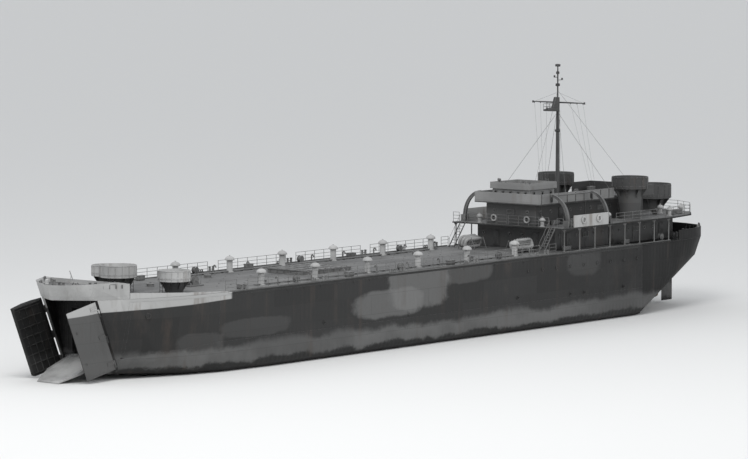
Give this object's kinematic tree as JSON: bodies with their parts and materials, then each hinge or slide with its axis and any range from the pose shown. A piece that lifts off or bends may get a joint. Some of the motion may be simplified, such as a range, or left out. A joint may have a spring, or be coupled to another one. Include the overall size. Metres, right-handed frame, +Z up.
{
  "type": "beached tank landing ship, 1:10 scale model",
  "caption": "Flat-bottomed landing ship with open bow doors, lowered bow ramp, hollow tank deck, aft superstructure, mast, davits, rudders and propellers.",
  "frame": {"origin": "centre of the bounding box at the flat keel that the ship stands on", "axes": "+X to the bow, +Y to port, +Z up"},
  "size_m": [10.091, 1.524, 2.704],
  "materials": {
    "hull_paint": "weathered dark grey",
    "pale_paint": "weathered pale grey",
    "deck_paint": "worn deck grey",
    "gear_paint": "worn mid grey",
    "bronze": "dull cast"
  },
  "bodies": {
    "root": {"boat_deck": "deck_paint", "boat_deck_stanchions_port": "gear_paint", "boat_deck_stanchions_starboard": "gear_paint", "bow_bulwark_port": "pale_paint", "bow_bulwark_starboard": "pale_paint", "bow_cap": "pale_paint", "bow_cheek_port": "hull_paint", "bow_cheek_starboard": "hull_paint", "bow_portal": "hull_paint", "bridge_deck": "deck_paint", "bridge_house": "hull_paint", "bridge_wall_front": "pale_paint", "bridge_wall_port": "hull_paint", "bridge_wall_starboard": "hull_paint", "conning_shield": "pale_paint", "davit_stands_port": "gear_paint", "davit_stands_starboard": "gear_paint", "deck_winch": "gear_paint", "deckhouse": "hull_paint", "gunwale_port": "gear_paint", "gunwale_starboard": "gear_paint", "hatch_coaming": "gear_paint", "hull_bottom": "hull_paint", "hull_shoulder_port": "hull_paint", "hull_shoulder_starboard": "hull_paint", "hull_side_port": "hull_paint", "hull_side_starboard": "hull_paint", "hull_stern": "hull_paint", "life_raft_port": "gear_paint", "life_raft_starboard": "gear_paint", "main_deck_aft": "deck_paint", "main_deck_fore": "deck_paint", "main_deck_hatch_bay": "deck_paint", "mast": "gear_paint", "mast_platform": "gear_paint", "skeg_port": "hull_paint", "skeg_starboard": "hull_paint", "stern_anchor": "gear_paint", "stern_bulwark": "hull_paint", "stern_winch": "gear_paint", "tub_bow_centre": "pale_paint", "tub_bow_port": "pale_paint", "tub_bow_starboard": "pale_paint", "tub_side_port": "pale_paint", "tub_side_starboard": "pale_paint", "tub_stern": "pale_paint", "ventilators_port": "gear_paint", "ventilators_starboard": "gear_paint", "wheelhouse": "pale_paint", "yard": "gear_paint"},
    "bow_ramp": {"bow_ramp": "gear_paint"},
    "bow_door_port": {"bow_door_port": "hull_paint"},
    "bow_door_starboard": {"bow_door_starboard": "hull_paint"},
    "propeller_port": {"propeller_port": "bronze"},
    "propeller_starboard": {"propeller_starboard": "bronze"},
    "rudder_port": {"rudder_port": "hull_paint"},
    "rudder_starboard": {"rudder_starboard": "hull_paint"},
    "hatch_lid": {"hatch_lid": "gear_paint"},
    "davit_port": {"davit_arms_port": "gear_paint"},
    "davit_starboard": {"davit_arms_starboard": "gear_paint"}
  },
  "joints": [
    {"name": "bow_ramp_hinge", "type": "hinge", "parent": "root", "child": "bow_ramp", "pos_m": [4.3845, 0, 0.2], "axis": [0, -1, 0], "range_deg": [0, 109.6]},
    {"name": "bow_door_port_hinge", "type": "hinge", "parent": "root", "child": "bow_door_port", "pos_m": [4.3245, 0.35, 0], "axis": [-0.3908, 0, -0.9205], "range_deg": [0, 61.9]},
    {"name": "bow_door_starboard_hinge", "type": "hinge", "parent": "root", "child": "bow_door_starboard", "pos_m": [4.3245, -0.35, 0], "axis": [0.3908, 0, 0.9205], "range_deg": [0, 61.9]},
    {"name": "propeller_port_spin", "type": "hinge", "parent": "root", "child": "propeller_port", "pos_m": [-4.3155, 0.24, 0.125], "axis": [1, 0, 0], "continuous": true},
    {"name": "propeller_starboard_spin", "type": "hinge", "parent": "root", "child": "propeller_starboard", "pos_m": [-4.3155, -0.24, 0.125], "axis": [1, 0, 0], "continuous": true},
    {"name": "rudder_port_turn", "type": "hinge", "parent": "root", "child": "rudder_port", "pos_m": [-4.5755, 0.24, 0.2], "axis": [0, 0, 1], "range_deg": [-35, 35]},
    {"name": "rudder_starboard_turn", "type": "hinge", "parent": "root", "child": "rudder_starboard", "pos_m": [-4.5755, -0.24, 0.2], "axis": [0, 0, 1], "range_deg": [-35, 35]},
    {"name": "hatch_lid_hinge", "type": "hinge", "parent": "root", "child": "hatch_lid", "pos_m": [0.8345, 0, 0.807], "axis": [0, -1, 0], "range_deg": [0, 100]},
    {"name": "davit_port_swing", "type": "hinge", "parent": "root", "child": "davit_port", "pos_m": [-2.5455, 0.69, 1.074], "axis": [-1, 0, 0], "range_deg": [0, 70]},
    {"name": "davit_starboard_swing", "type": "hinge", "parent": "root", "child": "davit_starboard", "pos_m": [-2.5455, -0.69, 1.074], "axis": [1, 0, 0], "range_deg": [0, 70]}
  ],
  "couplings": [
    {"joint": "bow_door_port_hinge", "follows": "bow_ramp_hinge", "ratio": 0.5647},
    {"joint": "bow_door_starboard_hinge", "follows": "bow_ramp_hinge", "ratio": 0.5647},
    {"joint": "rudder_starboard_turn", "follows": "rudder_port_turn", "ratio": 1}
  ]
}
